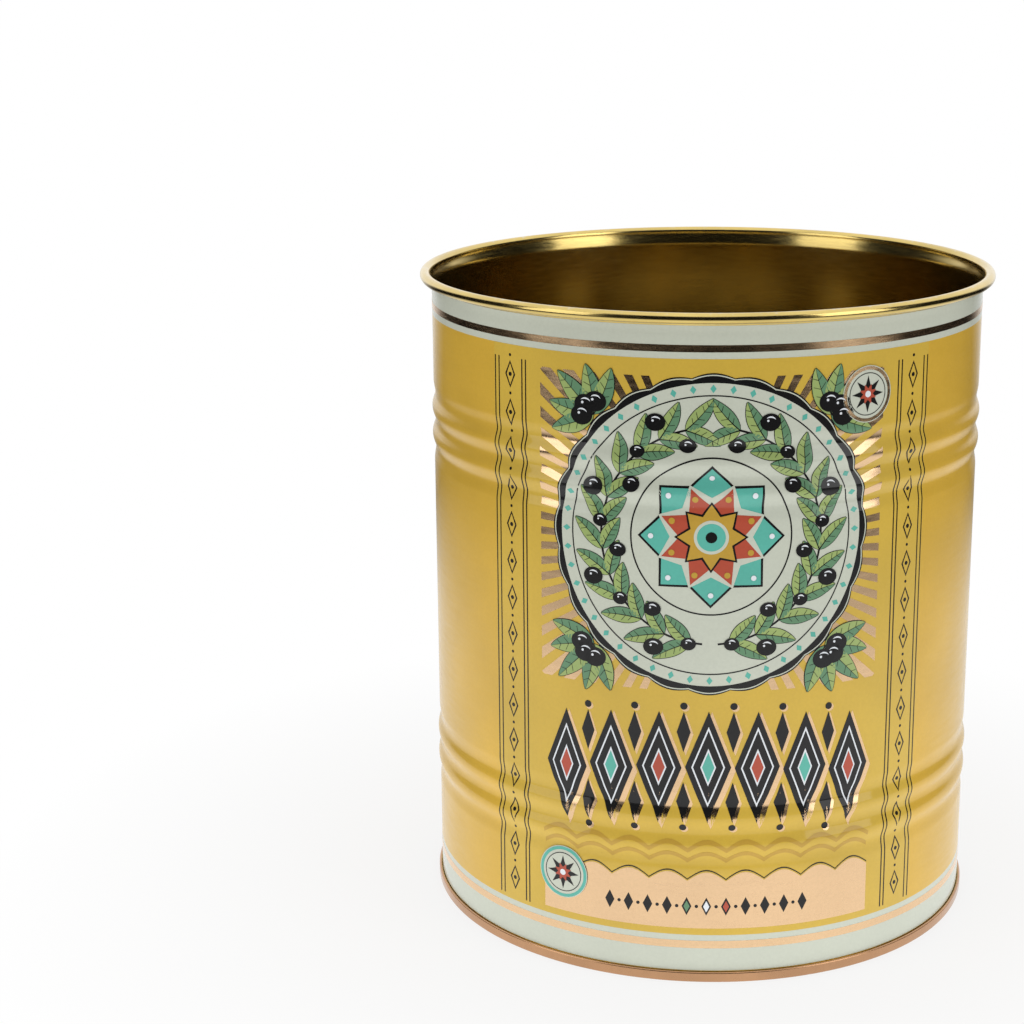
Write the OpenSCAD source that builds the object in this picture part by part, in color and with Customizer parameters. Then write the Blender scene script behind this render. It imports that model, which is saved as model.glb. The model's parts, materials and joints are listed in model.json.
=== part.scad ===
// Open storage tin of the olive oil kind: a printed sheet-metal cylinder with a
// rolled rim, two clusters of rolled beads, a lapped side seam at the back and
// a base end held on by a five-layer double seam.
// The foot of the tin stands on z = 0, the axis is Z and the front is -Y.

/* [Body] */
// Outer diameter of the plain wall
body_d = 135; // [90:1:200]
// Height from the foot to the top of the rim
body_h = 160; // [120:1:260]
// Thickness of the body sheet
body_sheet = 0.23; // [0.18:0.01:0.3]

/* [Rim] */
// Outer diameter of the rolled curl in section
curl_d = 2.5; // [2:0.1:4]
// How far round the sheet is rolled, in degrees
curl_turn = 315; // [270:5:320]
// How far the wall steps outwards under the curl
flare = 0.6; // [0.2:0.1:1.5]
// Height over which the wall steps outwards
flare_h = 3.5; // [2:0.5:8]

/* [Beads] */
// Raised rings in each cluster
bead_ridges = 2; // [1:1:4]
// Distance from one raised ring to the next
bead_pitch = 6.85; // [5:0.05:8]
// Height from the bottom of a groove to the top of a ring
bead_depth = 0.78; // [0.2:0.02:1.2]
// Distance from the rim to the middle of the upper cluster
bead_from_rim = 37.5; // [26:0.5:45]
// Distance from the foot to the middle of the lower cluster
bead_from_foot = 37.5; // [24:0.5:45]

/* [Side seam] */
// Width of the lapped strip at the back
lap_w = 5; // [3:0.5:10]
// Plain wall left between the strip and the double seam or the flare
lap_margin = 1.5; // [0.5:0.5:5]

/* [Base end] */
// Thickness of the base sheet
end_sheet = 0.25; // [0.18:0.01:0.3]
// Height of the countersunk ring above the foot
countersink = 3.6; // [3.5:0.1:6]
// Width of the countersunk ring
countersink_w = 2.2; // [1.8:0.1:4]
// How far the panel lies below the countersunk ring
panel_drop = 0.9; // [0.8:0.1:1.4]
// Stiffening rings pressed into the panel
ring_count = 3; // [1:1:3]
// Distance from one stiffening ring to the next
ring_pitch = 10; // [8:0.5:12]
// Width of the flat top of a stiffening ring
ring_w = 2.4; // [2:0.1:4]
// Height of a stiffening ring
ring_rise = 0.5; // [0.3:0.1:0.8]
// Flat panel between the countersunk ring and the first stiffening ring
ring_margin = 6; // [4:0.5:8]

/* [Double seam] */
// Height of the double seam
seam_h = 2.6; // [2.4:0.1:3.4]
// Clearance between neighbouring layers of sheet
seam_gap = 0.04; // [0.02:0.01:0.06]
// Height of the sealing compound over the body hook
compound_h = 0.4; // [0.3:0.05:0.5]
// Free height under the cover hook
hook_gap = 0.35; // [0.2:0.05:0.5]
// Inner bend radius of the foot of the seam
foot_bend = 0.28; // [0.2:0.01:0.3]

/* [Hidden] */
$fn = 160;

// Steps along bends, beads and the flare
bend_step = 15;
bead_steps = 12;
flare_steps = 8;

// Radii of the sheets' middle lines, from the axis outwards through the seam
wall_r = (body_d - body_sheet) / 2;
chuck_r = body_d / 2 - body_sheet - seam_gap - end_sheet / 2;
cover_r = body_d / 2 + seam_gap + end_sheet / 2;
hook_r = cover_r + end_sheet / 2 + seam_gap + body_sheet / 2;
outer_r = hook_r + body_sheet / 2 + seam_gap + end_sheet / 2;

// Heights through the seam
flange_z = end_sheet + seam_gap + body_sheet / 2;
fold_under = seam_h - end_sheet;
hook_top = fold_under - seam_gap - compound_h;
cover_tip = flange_z + body_sheet / 2 + hook_gap;

// Heights of the beads and of the rolled rim
cluster_half = (bead_ridges + 1) / 2 * bead_pitch;
upper_z = body_h - bead_from_rim;
lower_z = bead_from_foot;
curl_z = body_h - curl_d / 2;
curl_r = (curl_d - body_sheet) / 2;
flare_z = curl_z - flare_h;

// Middle line of the base panel and of its countersunk ring
sink_z = countersink - end_sheet / 2;
panel_z = sink_z - panel_drop;
panel_r = chuck_r - countersink_w;
slope_w = ring_rise;

// Geometry of thin sheet: a path of the sheet's middle line is given a
// thickness, and the closed outline that results is turned about the axis.

function unit(v) = v / norm(v);
function left(v) = [-v.y, v.x];
function turned(v, a) = [v.x * cos(a) - v.y * sin(a), v.x * sin(a) + v.y * cos(a)];

// Points of the arc that rounds the corner b between a and c, limited by the
// shorter of its two legs
function bend(a, b, c, wanted) =
    let(u = unit(a - b))
    let(v = unit(c - b))
    let(half = acos(u * v) / 2)
    let(room = 0.45 * min(norm(a - b), norm(c - b)))
    let(rad = min(wanted, room * tan(half)))
    let(centre = b + unit(u + v) * rad / sin(half))
    let(start = b + u * rad / tan(half) - centre)
    let(turn = sign(cross(b - a, c - b)) * (180 - 2 * half))
    let(steps = ceil(abs(turn) / bend_step))
    [for (i = [0:steps]) centre + turned(start, turn * i / steps)];

// A path through corners, each [radius, height, bend radius]
function bent(corners) = [
    for (i = [0:len(corners) - 1])
        let(here = [corners[i].x, corners[i].y])
        if (i == 0 || i == len(corners) - 1)
            here
        else
            let(before = [corners[i - 1].x, corners[i - 1].y])
            let(after = [corners[i + 1].x, corners[i + 1].y])
            each bend(before, here, after, corners[i].z)
];

// Where point i of a path lies when the path is moved to its left by d
function beside(path, i, d) =
    let(last = len(path) - 1)
    let(u = left(unit(i == 0 ? path[1] - path[0] : path[i] - path[i - 1])))
    let(v = left(unit(i == last ? path[last] - path[last - 1] : path[i + 1] - path[i])))
    path[i] + d * (u + v) / (1 + u * v);

// The closed outline between two lines beside a path
function strip(path, d1, d2) = concat(
    [for (i = [0:len(path) - 1]) beside(path, i, d1)],
    [for (i = [len(path) - 1:-1:0]) beside(path, i, d2)]
);

// Height of the bead wave above the plain wall, at a distance from the middle
// of a cluster: whole waves inside, and half a wave that dies away at each end
function bead(distance) =
    let(from_last = abs(distance) / bead_pitch - bead_ridges / 2)
    let(valley = -bead_depth / 2)
    from_last < 0 ? valley * cos(360 * from_last)
    : from_last < 0.5 ? valley * (1 + cos(360 * from_last)) / 2
    : 0;

function bead_cluster(middle) =
    let(steps = (bead_ridges + 1) * bead_steps)
    [
        for (i = [0:steps])
            let(distance = cluster_half * (2 * i / steps - 1))
            [wall_r + bead(distance), middle + distance]
    ];

// The wall eases outwards and ends upright, where the curl begins
function flare_curve() = [
    for (i = [0:flare_steps - 1])
        let(along = i / flare_steps)
        [wall_r + flare * (1 - cos(180 * along)) / 2, flare_z + flare_h * along]
];

// The curl rolls over outwards and tucks in under itself
function curl_arc() =
    let(steps = ceil(curl_turn / bend_step))
    let(centre = [wall_r + flare + curl_r, curl_z])
    [
        for (i = [0:steps])
            let(a = 180 - curl_turn * i / steps)
            centre + curl_r * [cos(a), sin(a)]
    ];

// One unbroken sheet, from the tip of its hook in the seam to the tip of the curl
function body_path() = concat(
    bent([
        [hook_r, hook_top, 0],
        [hook_r, flange_z, foot_bend],
        [wall_r, flange_z, foot_bend],
        [wall_r, seam_h, 0]
    ]),
    bead_cluster(lower_z),
    bead_cluster(upper_z),
    flare_curve(),
    curl_arc()
);

// The wall between the double seam and the flare, for the lapped edge on it
function lap_path() = concat(
    [[wall_r, seam_h + lap_margin]],
    bead_cluster(lower_z),
    bead_cluster(upper_z),
    [[wall_r, flare_z - lap_margin]]
);

function ring_corners(middle) = [
    [middle - ring_w / 2 - slope_w, panel_z, ring_w / 4],
    [middle - ring_w / 2, panel_z + ring_rise, ring_w / 4],
    [middle + ring_w / 2, panel_z + ring_rise, ring_w / 4],
    [middle + ring_w / 2 + slope_w, panel_z, ring_w / 4]
];

// One unbroken sheet, from the middle of the panel to the tip of the cover hook
function end_path() =
    let(first = panel_r - ring_margin - (ring_count - 1) * ring_pitch)
    let(sheet_bend = foot_bend + end_sheet / 2)
    let(fold = (outer_r - cover_r) / 2)
    bent(concat(
        [[0, panel_z, 0]],
        [for (i = [0:ring_count - 1]) each ring_corners(first + i * ring_pitch)],
        [
            [panel_r, panel_z, panel_drop / 2],
            [panel_r, sink_z, panel_drop / 2],
            [chuck_r, sink_z, countersink_w / 3],
            [chuck_r, end_sheet / 2, sheet_bend],
            [outer_r, end_sheet / 2, sheet_bend],
            [outer_r, seam_h - end_sheet / 2, fold],
            [cover_r, seam_h - end_sheet / 2, fold],
            [cover_r, cover_tip, 0]
        ]
    ));

// Printed body sheet: wall, beads, flare, curl, lapped edge and seam hook
module body_shell() {
    lap_angle = 360 * lap_w / (PI * body_d);
    color([0.83, 0.66, 0.26]) {
        rotate_extrude()
            polygon(strip(body_path(), body_sheet / 2, -body_sheet / 2));
        rotate([0, 0, 90 - lap_angle / 2])
            rotate_extrude(angle = lap_angle)
                polygon(strip(lap_path(), 0, -body_sheet * 1.5));
    }
}

// Base end: ringed panel, countersunk ring, chuck wall and cover hook
module base_end() {
    color([0.72, 0.55, 0.25])
        rotate_extrude()
            polygon(strip(end_path(), end_sheet / 2, -end_sheet / 2));
}

// Ring of sealing compound over the tip of the body hook, under the fold
module seam_compound() {
    low = hook_top + seam_gap;
    high = fold_under - seam_gap;
    half_w = body_sheet / 2;
    chamfer = body_sheet / 3;
    color([0.25, 0.25, 0.27])
        rotate_extrude()
            polygon([
                [hook_r - half_w, low],
                [hook_r + half_w, low],
                [hook_r + half_w, high - chamfer],
                [hook_r + half_w - chamfer, high],
                [hook_r - half_w + chamfer, high],
                [hook_r - half_w, high - chamfer]
            ]);
}

body_shell();
base_end();
seam_compound();
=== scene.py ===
# %% [markdown]
# # An open storage tin of printed sheet metal
# The frame holds the tin's three solids at their real size: a body sheet, a base
# end and a ring of sealing compound. This lesson dresses them. Both sheets are made
# again with finer steps, and the print is laid on the wall the way a press lays it
# on: one thin film for each ink, cut to its own outline, over a flat ground.

# %% Load the frame
import json
import math

import bmesh
import bpy
import numpy as np
from mathutils import Matrix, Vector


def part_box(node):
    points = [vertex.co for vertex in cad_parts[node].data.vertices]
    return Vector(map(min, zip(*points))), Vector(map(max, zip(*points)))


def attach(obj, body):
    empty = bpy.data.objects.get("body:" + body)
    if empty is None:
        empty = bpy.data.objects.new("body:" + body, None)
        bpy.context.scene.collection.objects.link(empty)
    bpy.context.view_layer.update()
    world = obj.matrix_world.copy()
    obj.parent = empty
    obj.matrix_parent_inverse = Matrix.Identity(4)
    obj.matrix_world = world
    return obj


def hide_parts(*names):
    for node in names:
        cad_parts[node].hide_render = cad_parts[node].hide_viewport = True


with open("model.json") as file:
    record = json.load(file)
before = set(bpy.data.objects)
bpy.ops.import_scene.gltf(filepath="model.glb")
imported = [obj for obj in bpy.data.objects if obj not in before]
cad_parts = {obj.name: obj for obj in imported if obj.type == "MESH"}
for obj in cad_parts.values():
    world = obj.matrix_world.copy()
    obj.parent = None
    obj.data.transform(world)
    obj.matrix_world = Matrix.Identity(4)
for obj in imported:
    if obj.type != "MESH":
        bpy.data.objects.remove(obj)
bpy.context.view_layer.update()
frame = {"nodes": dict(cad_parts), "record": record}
MM = 0.001
record = frame["record"]

# %% [markdown]
# ## The sizes
# A few sizes drive everything, in millimetres. The wall's radius and the rim's
# height could be typed in again, but they are read from the frame, so the sheet
# made here lies where the solid lies. The others are the sizes of the rolled
# sheet, which a caliper would find on the rim and on the beads.

# %% Sizes of the rolled sheet
mouth = next(m for m in record["mounts"] if m["name"] == "mouth")
SHEET = 0.23
PRINT_R = mouth["dims"]["r_mm"] + SHEET
WALL_R = PRINT_R - SHEET / 2
RIM_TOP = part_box("body_shell")[1].z / MM
CURL_D, CURL_TURN = 2.5, 315
FLARE, FLARE_H = 0.6, 3.5
BEAD_RIDGES, BEAD_PITCH, BEAD_DEPTH, BEAD_FROM_END = 2, 6.85, 0.78, 37.5
LOWER_Z, UPPER_Z = BEAD_FROM_END, RIM_TOP - BEAD_FROM_END
CLUSTER = (BEAD_RIDGES + 1) / 2 * BEAD_PITCH
CURL_Z = RIM_TOP - CURL_D / 2
FLARE_Z = CURL_Z - FLARE_H
SEGMENTS = 240
print("wall radius", round(PRINT_R, 2), "rim", round(RIM_TOP, 2), "beads at", LOWER_Z, UPPER_Z)

# %% [markdown]
# ## The wall as a formula
# The beads are rolled between two shaped wheels, so their section is a smooth
# wave that dies away at both ends. They could be drawn as rings on a finished
# cylinder, but then the print would have to be fitted to them by hand. Here one
# formula gives the wall's radius at any height, and everything printed on the wall
# is wrapped by that same formula, so ink and metal keep together in every groove.


# %% The wave of the beads and the wall's radius
def bead(distance):
    """Whole cosine waves inside a cluster of beads and half a wave that dies away at each end."""
    from_last = np.abs(distance) / BEAD_PITCH - BEAD_RIDGES / 2
    valley = -BEAD_DEPTH / 2
    whole = valley * np.cos(2 * np.pi * from_last)
    dying = valley * (1 + np.cos(2 * np.pi * from_last)) / 2
    return np.where(from_last < 0, whole, np.where(from_last < 0.5, dying, 0.0))


def wall(z):
    """Radius of the sheet's middle line at height z: the plain wall, two bead waves and the flare,
    which is half a cosine wave outwards under the curl."""
    rise = np.clip((z - FLARE_Z) / FLARE_H, 0, 1)
    flare = FLARE * (1 - np.cos(np.pi * rise)) / 2
    return WALL_R + bead(z - UPPER_Z) + bead(z - LOWER_Z) + flare


print("groove", round(float(wall(UPPER_Z)), 3), "plain", round(float(wall(RIM_TOP / 2)), 3))

# %% [markdown]
# ## Wrapping the print
# A print is flat until the sheet is rolled. It could be modelled on the round wall
# at once, but a flat drawing is far easier to lay out. So each shape is drawn in the
# flat, u millimetres round from the middle of the front and z up, and one function
# rolls it onto the wall. On the beads the points stand close together, and on the
# plain wall a few are enough.

# %% Wrap and heights
SLOPE_STEP = 0.01


def on_wall(u, z, lift):
    """Wraps the flat print, lift mm off the sheet. The angle is u over the radius, and the point
    goes out along the wall's normal, whose slope is the formula's own."""
    slope = (wall(z + SLOPE_STEP) - wall(z - SLOPE_STEP)) / (2 * SLOPE_STEP)
    out_r = 1 / np.hypot(1, slope)
    out_z = -slope * out_r
    reach = wall(z) + (SHEET / 2 + lift) * out_r
    height = z + (SHEET / 2 + lift) * out_z
    angle = u / PRINT_R
    place = np.stack([np.sin(angle) * reach, -np.cos(angle) * reach, height], -1)
    normal = np.stack([np.sin(angle) * out_r, -np.cos(angle) * out_r, out_z], -1)
    return place, normal


def heights(low, high, fine=0.44, coarse=5.0):
    """Heights from low to high, close together on the beads and wide apart on the plain wall."""
    marks = [low, high]
    for middle in (LOWER_Z, UPPER_Z):
        marks += [middle - CLUSTER, middle + CLUSTER]
    marks = sorted(m for m in marks if low <= m <= high)
    spans = []
    for a, b in zip(marks[:-1], marks[1:]):
        beaded = min(abs((a + b) / 2 - LOWER_Z), abs((a + b) / 2 - UPPER_Z)) < CLUSTER
        steps = max(1, math.ceil((b - a) / (fine if beaded else coarse)))
        spans.append(np.linspace(a, b, steps, endpoint=False))
    return np.append(np.concatenate(spans), high)


print("heights on the whole wall", len(heights(0, RIM_TOP)))

# %% [markdown]
# ## Sheet turned from a path
# A rolled or pressed sheet has one thickness everywhere. A Screw and a Solidify
# modifier could make it, but they leave the inner bends of the seam to chance. So
# the section is drawn as the path of the sheet's middle line, given a thickness to
# both sides, and turned about the axis. The hooks of the double seam and the curl
# are bends of that path.

# %% Paths, bends and turned sheets
BEND_STEP, BEND_ROOM = math.radians(12), 0.45


def turned(v, a):
    """The vectors v turned by the angle a."""
    return np.stack([v[0] * np.cos(a) - v[1] * np.sin(a), v[0] * np.sin(a) + v[1] * np.cos(a)], -1)


def bent(corners):
    """A path through corners [radius, height, bend radius]. Each corner is rounded by an arc that
    touches both legs, and its radius is limited by the room on the shorter leg."""
    points = [np.array([corners[0][:2]])]
    for before, here, after in zip(corners[:-2], corners[1:-1], corners[2:]):
        b = np.array(here[:2])
        to_a, to_c = np.array(before[:2]) - b, np.array(after[:2]) - b
        len_a, len_c = np.linalg.norm(to_a), np.linalg.norm(to_c)
        u, v = to_a / len_a, to_c / len_c
        half = math.acos(np.clip(u @ v, -1, 1)) / 2
        rad = min(here[2], BEND_ROOM * min(len_a, len_c) * math.tan(half))
        centre = b + (u + v) / np.linalg.norm(u + v) * rad / math.sin(half)
        side = np.sign(-to_a[0] * to_c[1] + to_a[1] * to_c[0])
        turn = side * (math.pi - 2 * half)
        arc = np.linspace(0, turn, max(2, math.ceil(abs(turn) / BEND_STEP) + 1))
        points.append(centre + turned(b + u * rad / math.tan(half) - centre, arc))
    points.append(np.array([corners[-1][:2]]))
    return np.concatenate(points)


def thick(path, thickness):
    """The closed outline of a sheet, anticlockwise: the path moved to its left and to its right by
    half the thickness, along the mean of the neighbouring legs' normals."""
    leg = np.diff(path, axis=0)
    leg /= np.linalg.norm(leg, axis=1)[:, None]
    left = np.stack([-leg[:, 1], leg[:, 0]], -1)
    before, after = np.vstack([left[:1], left]), np.vstack([left, left[-1:]])
    miter = (before + after) / (1 + (before * after).sum(1))[:, None]
    outline = np.vstack([path + miter * thickness / 2, (path - miter * thickness / 2)[::-1]])
    x, y = outline.T
    area = (x * np.roll(y, -1) - np.roll(x, -1) * y).sum()
    return outline if area > 0 else outline[::-1]


def revolve(outline):
    """A closed outline of [radius, height] turned about Z: a grid of outline points by angles."""
    angle = np.arange(SEGMENTS) * 2 * np.pi / SEGMENTS
    radius, height = outline[:, :1], outline[:, 1:]
    place = np.stack([radius * np.cos(angle), radius * np.sin(angle), height + 0 * angle], -1)
    index = np.arange(len(outline) * SEGMENTS).reshape(len(outline), SEGMENTS)
    index = np.vstack([index, index[:1]])
    index = np.hstack([index, index[:, :1]])
    quads = np.stack([index[:-1, :-1], index[:-1, 1:], index[1:, 1:], index[1:, :-1]], -1)
    return place.reshape(-1, 3), quads.reshape(-1, 4)


# %% [markdown]
# ## A film of ink
# Ink on tinplate is a thin layer with a clean edge. An image on the wall could show
# it, but its edges blur close up, and its ink could not catch the light as a layer
# of its own. So each printed shape is a grid of points in the flat print, wrapped on
# the wall twice, at its under face and at its top face, and closed round its edge.
# The top face takes its normals from the wall's formula, so that reflections run on
# from ink to ink without a break. Inks are printed one over another, so each film
# has a layer that says how many films high its top lies.

# %% Films
LAYER = 0.03
# Layers of the print, counted from the sheet outwards.
GROUND, PANEL, COPPER, KEY, FIELD, DRAWING, LEAVES, BERRIES = 1, 2, 3, 4, 5, 6, 7, 10


def film(u, z, layer, closed=False, low=None):
    """A grid wrapped as a closed film. A closed grid joins its last row to its first. Each cell is
    turned so that it runs anticlockwise in the flat print, which faces outwards. A side of a cell
    lies on the edge where no other cell runs along it the other way."""
    high = layer * LAYER
    top, normal = on_wall(u, z, high)
    under, _ = on_wall(u, z, high - LAYER if low is None else low)
    index = np.arange(u.size).reshape(u.shape)
    if closed:
        index = np.vstack([index, index[:1]])
    corners = [index[:-1, :-1], index[1:, :-1], index[1:, 1:], index[:-1, 1:]]
    face = np.stack(corners, -1).reshape(-1, 4)
    fu, fz = u.ravel()[face], z.ravel()[face]
    area = (fu * np.roll(fz, -1, 1) - np.roll(fu, -1, 1) * fz).sum(1)
    face[area < 0] = face[area < 0][:, ::-1]
    start, end = face.ravel(), np.roll(face, -1, 1).ravel()
    rim = ~np.isin(start * u.size + end, end * u.size + start)
    start, end = start[rim], end[rim]
    edge = np.stack([end, start, start + u.size, end + u.size], -1)
    place = np.vstack([top.reshape(-1, 3), under.reshape(-1, 3)])
    return place, np.vstack([face, edge, face[:, ::-1] + u.size]), normal.reshape(-1, 3)[face]


# %% [markdown]
# ## From arrays to a piece
# A sheet and a print go the same way into the scene: points and faces become one
# mesh, which rides on the tin's body and has a slot. A sheet is shaded smooth, with
# sharp edges where it was cut, and a print keeps the normals that its films give.
# Each printed shape could be an object of its own, but all films of one ink come
# from one plate of the press, so they are one piece.

# %% Pieces
SHARP_EDGE = math.radians(40)
TINY = 1e-12


def add_piece(name, places, faces, material, normals=None):
    """Puts a mesh in the scene, in metres, with its place in its vertices."""
    mesh = bpy.data.meshes.new(name)
    mesh.from_pydata((places * MM).tolist(), [], faces.tolist())
    mesh.shade_smooth()
    if normals is None:
        mesh.set_sharp_from_angle(angle=SHARP_EDGE)
    else:
        mesh.normals_split_custom_set(normals.tolist())
    mesh.materials.append(material)
    piece = bpy.data.objects.new(name, mesh)
    bpy.context.scene.collection.objects.link(piece)
    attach(piece, "root")
    print(name, len(mesh.vertices), "points,", len(mesh.polygons), "faces")
    return piece


def print_piece(name, films, material):
    """Joins all films of one ink. Top faces keep the wall's normals and the others lie flat, with
    a normal square to their two diagonals."""
    places, faces, corners, count = [], [], [], 0
    for place, face, normal in films:
        flat = np.cross(place[face[:, 2]] - place[face[:, 0]], place[face[:, 3]] - place[face[:, 1]])
        flat /= np.maximum(np.linalg.norm(flat, axis=1), TINY)[:, None]
        corner = np.repeat(flat[:, None], 4, 1)
        corner[:len(normal)] = normal
        places.append(place)
        faces.append(face + count)
        corners.append(corner.reshape(-1, 3))
        count += len(place)
    normals = np.vstack(corners)
    return add_piece(name, np.vstack(places), np.vstack(faces), material, normals)


# %% [markdown]
# ## Shapes of the print
# Four formulas draw the whole print: a blob, which is a square grid pressed into a
# disc and stretched to any outline round its middle, a hoop between two such
# outlines, a sheet between two curves, and a ribbon along a line. Filled curves
# could draw them too, but their long thin triangles would cut across the beads,
# while a grid bends with the wall.

# %% Blobs, hoops, sheets and ribbons
BLOB_CELL, OUTLINE_ANGLES = 1.1, 97


def blob(cu, cz, reach, layer, cells=None, tilt=0.0):
    """A square grid pressed into a disc, so that squares become rings of equal angle steps,
    then stretched: the rim at angle a lies reach(a) from the middle."""
    size = float(np.max(reach(np.linspace(0, 2 * np.pi, OUTLINE_ANGLES))))
    cells = cells or 4 * max(1, math.ceil(size / BLOB_CELL))
    s, t = np.meshgrid(np.linspace(-1, 1, cells + 1), np.linspace(-1, 1, cells + 1), indexing="ij")
    wide = np.abs(s) > np.abs(t)
    rho = np.where(wide, s, t)
    safe = np.where(rho == 0, 1, rho)
    phi = np.where(wide, np.pi / 4 * t / safe, np.pi / 2 - np.pi / 4 * s / safe)
    angle = np.where(rho < 0, phi + np.pi, phi)
    far = np.abs(rho) * reach(angle)
    return film(cu + far * np.cos(angle + tilt), cz + far * np.sin(angle + tilt), layer)


def hoop(cu, cz, inner, outer, layer, steps=96, across=1):
    """A closed band round one middle: at each angle the distance goes from the inner outline to the
    outer one in equal steps."""
    angle = np.linspace(0, 2 * np.pi, steps, endpoint=False)[:, None]
    share = np.linspace(0, 1, across + 1)
    far = inner(angle) * (1 - share) + outer(angle) * share
    return film(cu + far * np.cos(angle), cz + far * np.sin(angle), layer, closed=True)


def sheet_between(u, lower, upper, layer, across=1):
    """Upright lines from the curve (u, lower) to the curve (u, upper), in equal steps."""
    share = np.linspace(0, 1, across + 1)
    z = lower[:, None] * (1 - share) + upper[:, None] * share
    return film(np.repeat(u[:, None], across + 1, 1), z, layer)


def ribbon(u, z, half, layer, across=1):
    """A band along the line through the points u, z. To each side it is as wide as half says,
    measured square to the line's slope."""
    du, dz = np.gradient(u), np.gradient(z)
    length = np.hypot(du, dz)
    share = np.linspace(-1, 1, across + 1)
    half = np.broadcast_to(half, u.shape)
    side_u, side_z = -dz / length * half, du / length * half
    return film(u[:, None] + side_u[:, None] * share, z[:, None] + side_z[:, None] * share, layer)


# %% [markdown]
# ## Outlines
# An outline gives the distance from the middle at an angle. A compass draws the
# circle, and ruler and compass draw the rest. They could be lists of points, but a
# formula in the angle can be read, scaled and taken by a blob or a hoop alike.


# %% Circle, oval, lozenge, star and scallops
def circle(radius):
    """The same distance all round."""
    return lambda a: radius + 0 * a


def oval(a_half, b_half):
    """An ellipse: the product of its half axes over the length of the crossed sine and cosine."""
    return lambda a: a_half * b_half / np.hypot(b_half * np.cos(a), a_half * np.sin(a))


def lozenge(half_w, half_h, scale=1.0):
    """Straight sides between four corners: one over the sum of cosine and sine by half widths."""
    return lambda a: scale / (np.abs(np.cos(a)) / half_w + np.abs(np.sin(a)) / half_h)


def star(tip, notch, points=8):
    """Straight sides between tips and notches, by the sine rule in each half point."""
    step = np.pi / points

    def reach(a):
        part = np.abs((a + step) % (2 * step) - step)
        return tip * notch * np.sin(step) / (notch * np.sin(step - part) + tip * np.sin(part))

    return reach


def scallops(radius, depth, count=24):
    """A circle with round lobes that meet in cusps: the size of a cosine, added to the radius."""
    return lambda a: radius + depth * np.abs(np.cos(count * a / 2))


print("a star's tip and notch", [round(float(star(4, 2)(a)), 2) for a in (0, np.pi / 8)])

# %% [markdown]
# ## How a finish is built
# Every finish here is a chain of few nodes: noise on the piece's own coordinates,
# spread to a range, mixes two tints, sets the roughness or lifts a bump. The nodes
# could be placed one by one, but each link of that chain is the same each time, so
# it is a short helper, and an ink or a lacquer reads like a recipe.

# %% Node helpers
NOISE_LOW, NOISE_HIGH = 0.3, 0.7


def material(name):
    """A new material, its node tree and its shader."""
    made = bpy.data.materials.new(name)
    made.use_nodes = True
    return made, made.node_tree, made.node_tree.nodes["Principled BSDF"]


def put(tree, value, socket):
    """A number or a colour is set on a socket, and anything else is linked to it."""
    if isinstance(value, (int, float, tuple)):
        socket.default_value = value
    else:
        tree.links.new(value, socket)


def noise(tree, size_mm, stretch=(1, 1, 1), detail=3.0, rough=0.5):
    """Noise whose features are size_mm wide, on Object coordinates, squeezed along an axis."""
    place = tree.nodes.new("ShaderNodeTexCoord")
    squeeze = tree.nodes.new("ShaderNodeMapping")
    squeeze.inputs["Scale"].default_value = stretch
    grain = tree.nodes.new("ShaderNodeTexNoise")
    grain.inputs["Scale"].default_value = 1 / (size_mm * MM)
    grain.inputs["Detail"].default_value = detail
    grain.inputs["Roughness"].default_value = rough
    tree.links.new(place.outputs["Object"], squeeze.inputs["Vector"])
    tree.links.new(squeeze.outputs["Vector"], grain.inputs["Vector"])
    return grain.outputs["Fac"]


def ranged(tree, value, low, high, to_low, to_high):
    """The value's range low to high, spread over another range and held at its ends."""
    node = tree.nodes.new("ShaderNodeMapRange")
    sockets = ("From Min", "From Max", "To Min", "To Max")
    for socket, number in zip(sockets, (low, high, to_low, to_high)):
        node.inputs[socket].default_value = number
    tree.links.new(value, node.inputs["Value"])
    return node.outputs["Result"]


def spread(tree, grain, to_low=0, to_high=1):
    """Noise, which stays near its middle, spread over a whole range."""
    return ranged(tree, grain, NOISE_LOW, NOISE_HIGH, to_low, to_high)


def maths(tree, kind, a, b=0.0):
    """A sum of one or two numbers or outputs."""
    node = tree.nodes.new("ShaderNodeMath")
    node.operation = kind
    put(tree, a, node.inputs[0])
    put(tree, b, node.inputs[1])
    return node.outputs[0]


def vector_maths(tree, kind, a, b=None):
    """A sum of one or two vectors: the node, whose outputs are Vector and Value."""
    node = tree.nodes.new("ShaderNodeVectorMath")
    node.operation = kind
    put(tree, a, node.inputs[0])
    if b is not None:
        put(tree, b, node.inputs[1])
    return node


def parts(tree, vector):
    """The X, Y and Z of a vector."""
    node = tree.nodes.new("ShaderNodeSeparateXYZ")
    tree.links.new(vector, node.inputs[0])
    return node.outputs["X"], node.outputs["Y"], node.outputs["Z"]


def mixed(tree, share, a, b):
    """Colour a, with a share of colour b."""
    node = tree.nodes.new("ShaderNodeMix")
    node.data_type = "RGBA"
    put(tree, share, node.inputs["Factor"])
    put(tree, a, node.inputs["A"])
    put(tree, b, node.inputs["B"])
    return node.outputs["Result"]


def blended(tree, share, a, b):
    """Number a, with a share of number b."""
    node = tree.nodes.new("ShaderNodeMix")
    put(tree, share, node.inputs["Factor"])
    put(tree, a, node.inputs["A"])
    put(tree, b, node.inputs["B"])
    return node.outputs["Result"]


def bump(tree, height, depth_mm, under=None):
    """A bump whose full height is depth_mm, over an earlier bump."""
    node = tree.nodes.new("ShaderNodeBump")
    node.inputs["Strength"].default_value = 1.0
    node.inputs["Distance"].default_value = depth_mm * MM
    tree.links.new(height, node.inputs["Height"])
    if under is not None:
        tree.links.new(under, node.inputs["Normal"])
    return node.outputs["Normal"]


def shade(colour, factor):
    """A colour made lighter or darker, with alpha."""
    return tuple(min(1.0, c * factor) for c in colour) + (1.0,)


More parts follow.
